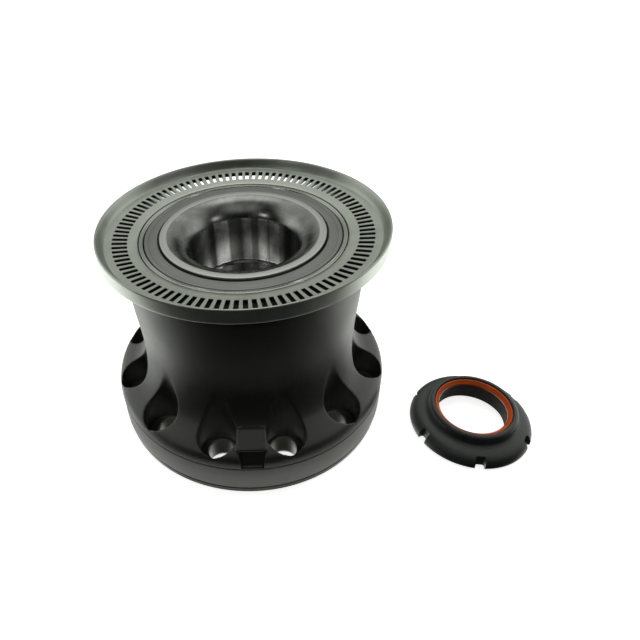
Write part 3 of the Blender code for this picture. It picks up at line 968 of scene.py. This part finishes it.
def make_seals(case_mat, lip_mat):
    case = filleted([
        (63.7, 143.2, 0.7), (63.7, 135.6, 0.3), (62.5, 135.6, 0.3), (62.5, 142.0, 0.6), (57.4, 141.9),
        (55.2, 141.7, 0.3), (55.2, 143.0, 0.35), (55.9, 143.05), (60.4, 143.05), (60.7, 143.0),
        (60.9, 142.9), (61.1, 143.0), (61.3, 143.15),
    ], 4)
    lip = filleted([
        (61.6, 141.6, 0.2), (61.6, 139.4, 0.4), (57.6, 139.0, 0.5), (55.5, 137.0, 0.4), (54.5, 137.2, 0.2),
        (54.3, 138.4, 0.3), (55.0, 140.2, 0.5), (54.35, 141.3, 0.3), (54.5, 141.6, 0.1),
    ], 3)
    for end, shell, rubber in (("inboard", case, lip), ("outboard", mirrored(case), mirrored(lip))):
        obj = lathe("seal_shell_" + end, shell, case_mat, steps=240)
        place(obj, "hub_side", "seal_case_steel", "seal_case_" + end)
        obj = lathe("seal_rubber_" + end, rubber, lip_mat)
        place(obj, "hub_side", "seal_rubber", "seal_lip_" + end)


# ------------------------------------------------------------------ axle nut
def nut_outline():
    outside = smooth_curve([
        (27.6, 18.98), (28.6, 18.75), (29.5, 18.1), (30.05, 17.1), (30.3, 15.6), (30.4, 13.8), (30.6, 12.6),
        (31.3, 11.6), (32.8, 10.8), (35.2, 10.1), (37.8, 9.1), (39.9, 7.5), (41.2, 5.6), (41.9, 3.7),
    ], 4)
    foot = filleted([(42.0, 2.6), (42.0, 1.0, 0.5), (41.0, 0.0, 0.5), (25.8, 0.0, 0.5), (24.9, 0.9, 0.2)], 3)
    thread = []
    for k in range(7):
        z = 1.6 + 1.5 * k
        thread += [(24.9, z), (24.05, z + 0.62), (24.05, z + 0.82), (24.9, z + 1.42)]
    neck = [(25.2, 12.6), (26.5, 12.75), (26.6, 13.0), (26.6, 17.9), (26.7, 18.4), (27.0, 18.85)]
    return outside + foot + thread + neck


def make_nut(mat):
    name = "sealed_axle_nut"
    mesh = bpy.data.meshes.new(name)
    bm = bmesh.new()
    revolve_into(bm, nut_outline(), 216, NUT_AT)
    bmesh.ops.recalc_face_normals(bm, faces=bm.faces)
    bm.to_mesh(mesh)
    bm.free()
    nut = make_object(name, mesh, mat, 40.0)
    cut_mesh = bpy.data.meshes.new("notches")
    bm = bmesh.new()
    for i in range(NOTCHES):
        a = -math.pi / 2 + NOTCH_TURN + 2 * math.pi / NOTCHES * i
        spot = Matrix.Translation((*NUT_AT, 0.0)) @ Matrix.Rotation(a, 4, "Z")
        made = bmesh.ops.create_cube(bm, size=1.0, matrix=spot @ Matrix.Translation((0.0423, 0, 0.0006))
                                     @ Matrix.Diagonal((0.009, 0.0066, 0.018, 1.0)))
        edges = [e for e in {e for v in made["verts"] for e in v.link_edges}
                 if abs((e.verts[0].co - e.verts[1].co).normalized().z) > 0.9]
        bmesh.ops.bevel(bm, geom=edges, offset=0.0011, segments=3, affect="EDGES", profile=0.5)
    bm.to_mesh(cut_mesh)
    bm.free()
    cutter = bpy.data.objects.new("notches", cut_mesh)
    bpy.context.scene.collection.objects.link(cutter)
    cut = nut.modifiers.new("notches", "BOOLEAN")
    cut.operation = "DIFFERENCE"
    cut.object = cutter
    bevel = nut.modifiers.new("edge", "BEVEL")
    bevel.width = 0.00028
    bevel.segments = 2
    bevel.limit_method = "ANGLE"
    bevel.angle_limit = math.radians(42)
    bpy.context.view_layer.update()
    baked = bpy.data.meshes.new_from_object(nut.evaluated_get(bpy.context.evaluated_depsgraph_get()))
    nut.modifiers.clear()
    nut.data = baked
    baked.name = name
    baked.shade_smooth()
    baked.set_sharp_from_angle(angle=math.radians(35))
    bpy.data.objects.remove(cutter, do_unlink=True)
    return place(nut, "loose_nut", "blackened_nut_steel", "axle_nut")


def make_nut_seal(mat):
    outline = filleted([
        (26.28, 17.8, 0.25), (26.28, 13.1, 0.3), (24.6, 13.1, 0.3), (23.5, 14.0, 0.4), (23.2, 15.0, 0.3),
        (23.3, 15.7, 0.3), (24.4, 16.7, 1.2), (25.2, 17.8, 0.4),
    ], 4)
    obj = lathe("orange_seal_ring", outline, mat, at=NUT_AT, steps=192)
    place(obj, "loose_nut", "orange_silicone", "axle_nut_seal_ring")


# ------------------------------------------------------------------ stage, light and camera
def make_stage():
    mat, _, shader = new_material("studio_white")
    shader.inputs["Base Color"].default_value = rgb(0.9, 0.9, 0.9)
    shader.inputs["Roughness"].default_value = 1.0
    shader.inputs["Specular IOR Level"].default_value = 0.0
    shader.inputs["Emission Color"].default_value = rgb(1.0, 1.0, 1.0)
    shader.inputs["Emission Strength"].default_value = 0.78
    floor_r, bend_r, floor_z, wall_top = 1.6, 0.8, -0.0002, 3.0
    profile = [(0.0, floor_z), (floor_r, floor_z)]
    bend = np.linspace(0.1, math.pi / 2, 10)
    profile += [(floor_r + bend_r * math.sin(t), bend_r - bend_r * math.cos(t)) for t in bend]
    profile += [(floor_r + bend_r, wall_top)]
    mesh = bpy.data.meshes.new("stage_cove")
    bm = bmesh.new()
    rings = []
    steps = 72
    for k in range(steps):
        a = 2 * math.pi * k / steps
        rings.append([bm.verts.new((r * math.cos(a), r * math.sin(a), z)) for r, z in profile])
    for k in range(steps):
        a, b = rings[k], rings[(k + 1) % steps]
        for i in range(len(profile) - 1):
            bm.faces.new((a[i], b[i], b[i + 1], a[i + 1]))
    bmesh.ops.remove_doubles(bm, verts=bm.verts, dist=0.00001)
    bm.to_mesh(mesh)
    bm.free()
    cove = make_object("stage_cove", mesh, mat, 60)
    for flag in ("visible_diffuse", "visible_glossy", "visible_transmission", "visible_shadow"):
        setattr(cove, flag, False)


def glowing_card(name, outer, inner, mat, steps):
    """A thin flat ring just under the hub's foot that lights the metal but isn't itself seen."""
    card = lathe(name, [(outer, -0.1), (outer, -0.15), (inner, -0.15), (inner, -0.1)], mat, steps=steps)
    card.visible_camera = False


def make_floor_glow():
    """The pale floor as the metal mirrors it: dimmer midway across the bore, and a band round the foot."""
    mat, g, shader = new_material("floor_under_bore")
    x, _, _ = from_axis(g, HUB_AT)
    shader.inputs["Base Color"].default_value = rgb(0.6, 0.6, 0.6)
    shader.inputs["Emission Color"].default_value = rgb(1.0, 1.0, 1.0)
    g.put(shader.inputs["Emission Strength"], g.spread(g.math("ABSOLUTE", x), 0.010, 0.030, 0.7, 4.0))
    glowing_card("stage_disc", 62.0, 0.01, mat, 48)
    mat, _, shader = new_material("floor_around_hub")
    shader.inputs["Base Color"].default_value = rgb(0.8, 0.8, 0.8)
    shader.inputs["Emission Color"].default_value = rgb(1.0, 1.0, 1.0)
    shader.inputs["Emission Strength"].default_value = 0.5
    glowing_card("stage_card", 123.0, 102.0, mat, 96)


def weighted(g, a, share_a, b, share_b):
    return g.math("ADD", g.math("MULTIPLY", a, share_a), g.math("MULTIPLY", b, share_b))


def make_world():
    """Soft panels beside, over and behind the pieces, and the pale floor below, set by direction."""
    world = bpy.data.worlds.new("studio")
    bpy.context.scene.world = world
    world.use_nodes = True
    g = Graph(world.node_tree)
    background = next(n for n in world.node_tree.nodes if n.type == "BACKGROUND")
    split = g.node("ShaderNodeSeparateXYZ")
    g.put(split.inputs[0], g.node("ShaderNodeTexCoord").outputs["Generated"])
    x, y, z = split.outputs
    beside = g.math("MULTIPLY", g.spread(g.math("ABSOLUTE", x), 0.32, 0.86, 0.0, 1.6),
                    g.spread(y, -0.20, 0.25, 0.0, 1.0))
    lifted = weighted(g, y, -0.38, z, 0.92)
    nearer = weighted(g, y, 0.35, z, 0.94)
    overhead = g.math("ADD", g.spread(lifted, 0.88, 0.97, 0.0, 0.62),
                      g.spread(nearer, 0.955, 0.985, 0.0, 1.5))
    behind = g.spread(weighted(g, y, 0.6, z, 0.8), 0.75, 0.97, 0.0, 1.08)
    floor = g.math("MULTIPLY", g.spread(y, -0.20, 0.32, 0.0, 1.7), g.spread(z, -0.2, -0.5, 0.0, 1.0))
    glow = g.math("ADD", g.math("ADD", beside, overhead), g.math("ADD", behind, floor))
    g.put(background.inputs["Color"], rgb(0.975, 1.0, 0.945))
    g.put(background.inputs["Strength"], g.math("ADD", glow, 0.012))


def area_light(name, spot, target, size, power):
    light = bpy.data.lights.new(name, "AREA")
    light.shape = "RECTANGLE"
    light.size, light.size_y = size
    light.energy = power
    obj = bpy.data.objects.new(name, light)
    bpy.context.scene.collection.objects.link(obj)
    obj.location = spot
    obj.rotation_euler = (Vector(target) - Vector(spot)).to_track_quat("-Z", "Y").to_euler()


def make_camera():
    camera = bpy.data.cameras.new("camera")
    camera.sensor_width = SENSOR_MM
    camera.lens = LENS_MM
    camera.shift_x = SHIFT_X
    camera.clip_start = 0.01
    obj = bpy.data.objects.new("camera", camera)
    bpy.context.scene.collection.objects.link(obj)
    turn = (Matrix.Rotation(math.radians(CAMERA_TURN), 4, "Z")
            @ Matrix.Rotation(math.radians(90.0 - CAMERA_DOWN), 4, "X")
            @ Matrix.Rotation(math.radians(CAMERA_ROLL), 4, "Z"))
    spot = Vector((*HUB_AT, 0.0)) + Vector(CAMERA_FROM_HUB)
    obj.matrix_world = Matrix.Translation(spot) @ turn
    bpy.context.scene.camera = obj


def main():
    cast = cast_material()
    rim = turned_material("turned_iron", HUB_AT, (0.12, 0.121, 0.110), (0.185, 0.187, 0.170), 0.42, 0.45)
    lip = turned_material("turned_lip", HUB_AT, (0.27, 0.274, 0.258), (0.36, 0.364, 0.345), 0.26, 1.0,
                           mark_strength=0.12)
    ground = inner_ring_material()
    race = turned_material("race_steel", HUB_AT, (0.36, 0.36, 0.36), (0.52, 0.52, 0.52), 0.22, 1.0)
    roller = turned_material("roller_steel", (0.0, 0.0), (0.42, 0.42, 0.43), (0.56, 0.56, 0.57), 0.16, 1.0)
    cage = turned_material("cage_steel", HUB_AT, (0.13, 0.13, 0.13), (0.22, 0.22, 0.22), 0.42, 0.9)
    clip = turned_material("clip_steel", HUB_AT, (0.20, 0.20, 0.21), (0.32, 0.32, 0.33), 0.34, 0.9)
    case = turned_material("seal_case_steel", HUB_AT, (0.15, 0.152, 0.145), (0.21, 0.213, 0.205), 0.40, 0.7,
                           mark_strength=0.2)
    nut = turned_material("blackened_nut", NUT_AT, (0.023, 0.0262, 0.0256), (0.041, 0.046, 0.045), 0.50,
                          0.1, mark_scale=2600.0, cloud_scale=70.0)
    make_casting(cast)
    make_hub_turned_ends(rim, lip)
    make_sensor_ring(sensor_material())
    make_inner_rings(ground)
    make_outer_rings(race)
    make_clip(clip)
    make_rollers(roller)
    make_cages(cage)
    make_seals(case, rubber_material())
    make_nut(nut)
    make_nut_seal(silicone_material())
    make_stage()
    make_floor_glow()
    make_world()
    make_camera()
    area_light("key_left", (HUB_AT[0] - 0.91, -0.85, 0.95), (HUB_AT[0], 0, 0.12), (0.14, 0.14), 0.8)
    area_light("key_right", (HUB_AT[0] + 1.08, -0.62, 0.95), (HUB_AT[0], 0, 0.12), (0.14, 0.14), 0.8)
    bpy.context.scene.view_settings.view_transform = "Standard"


main()
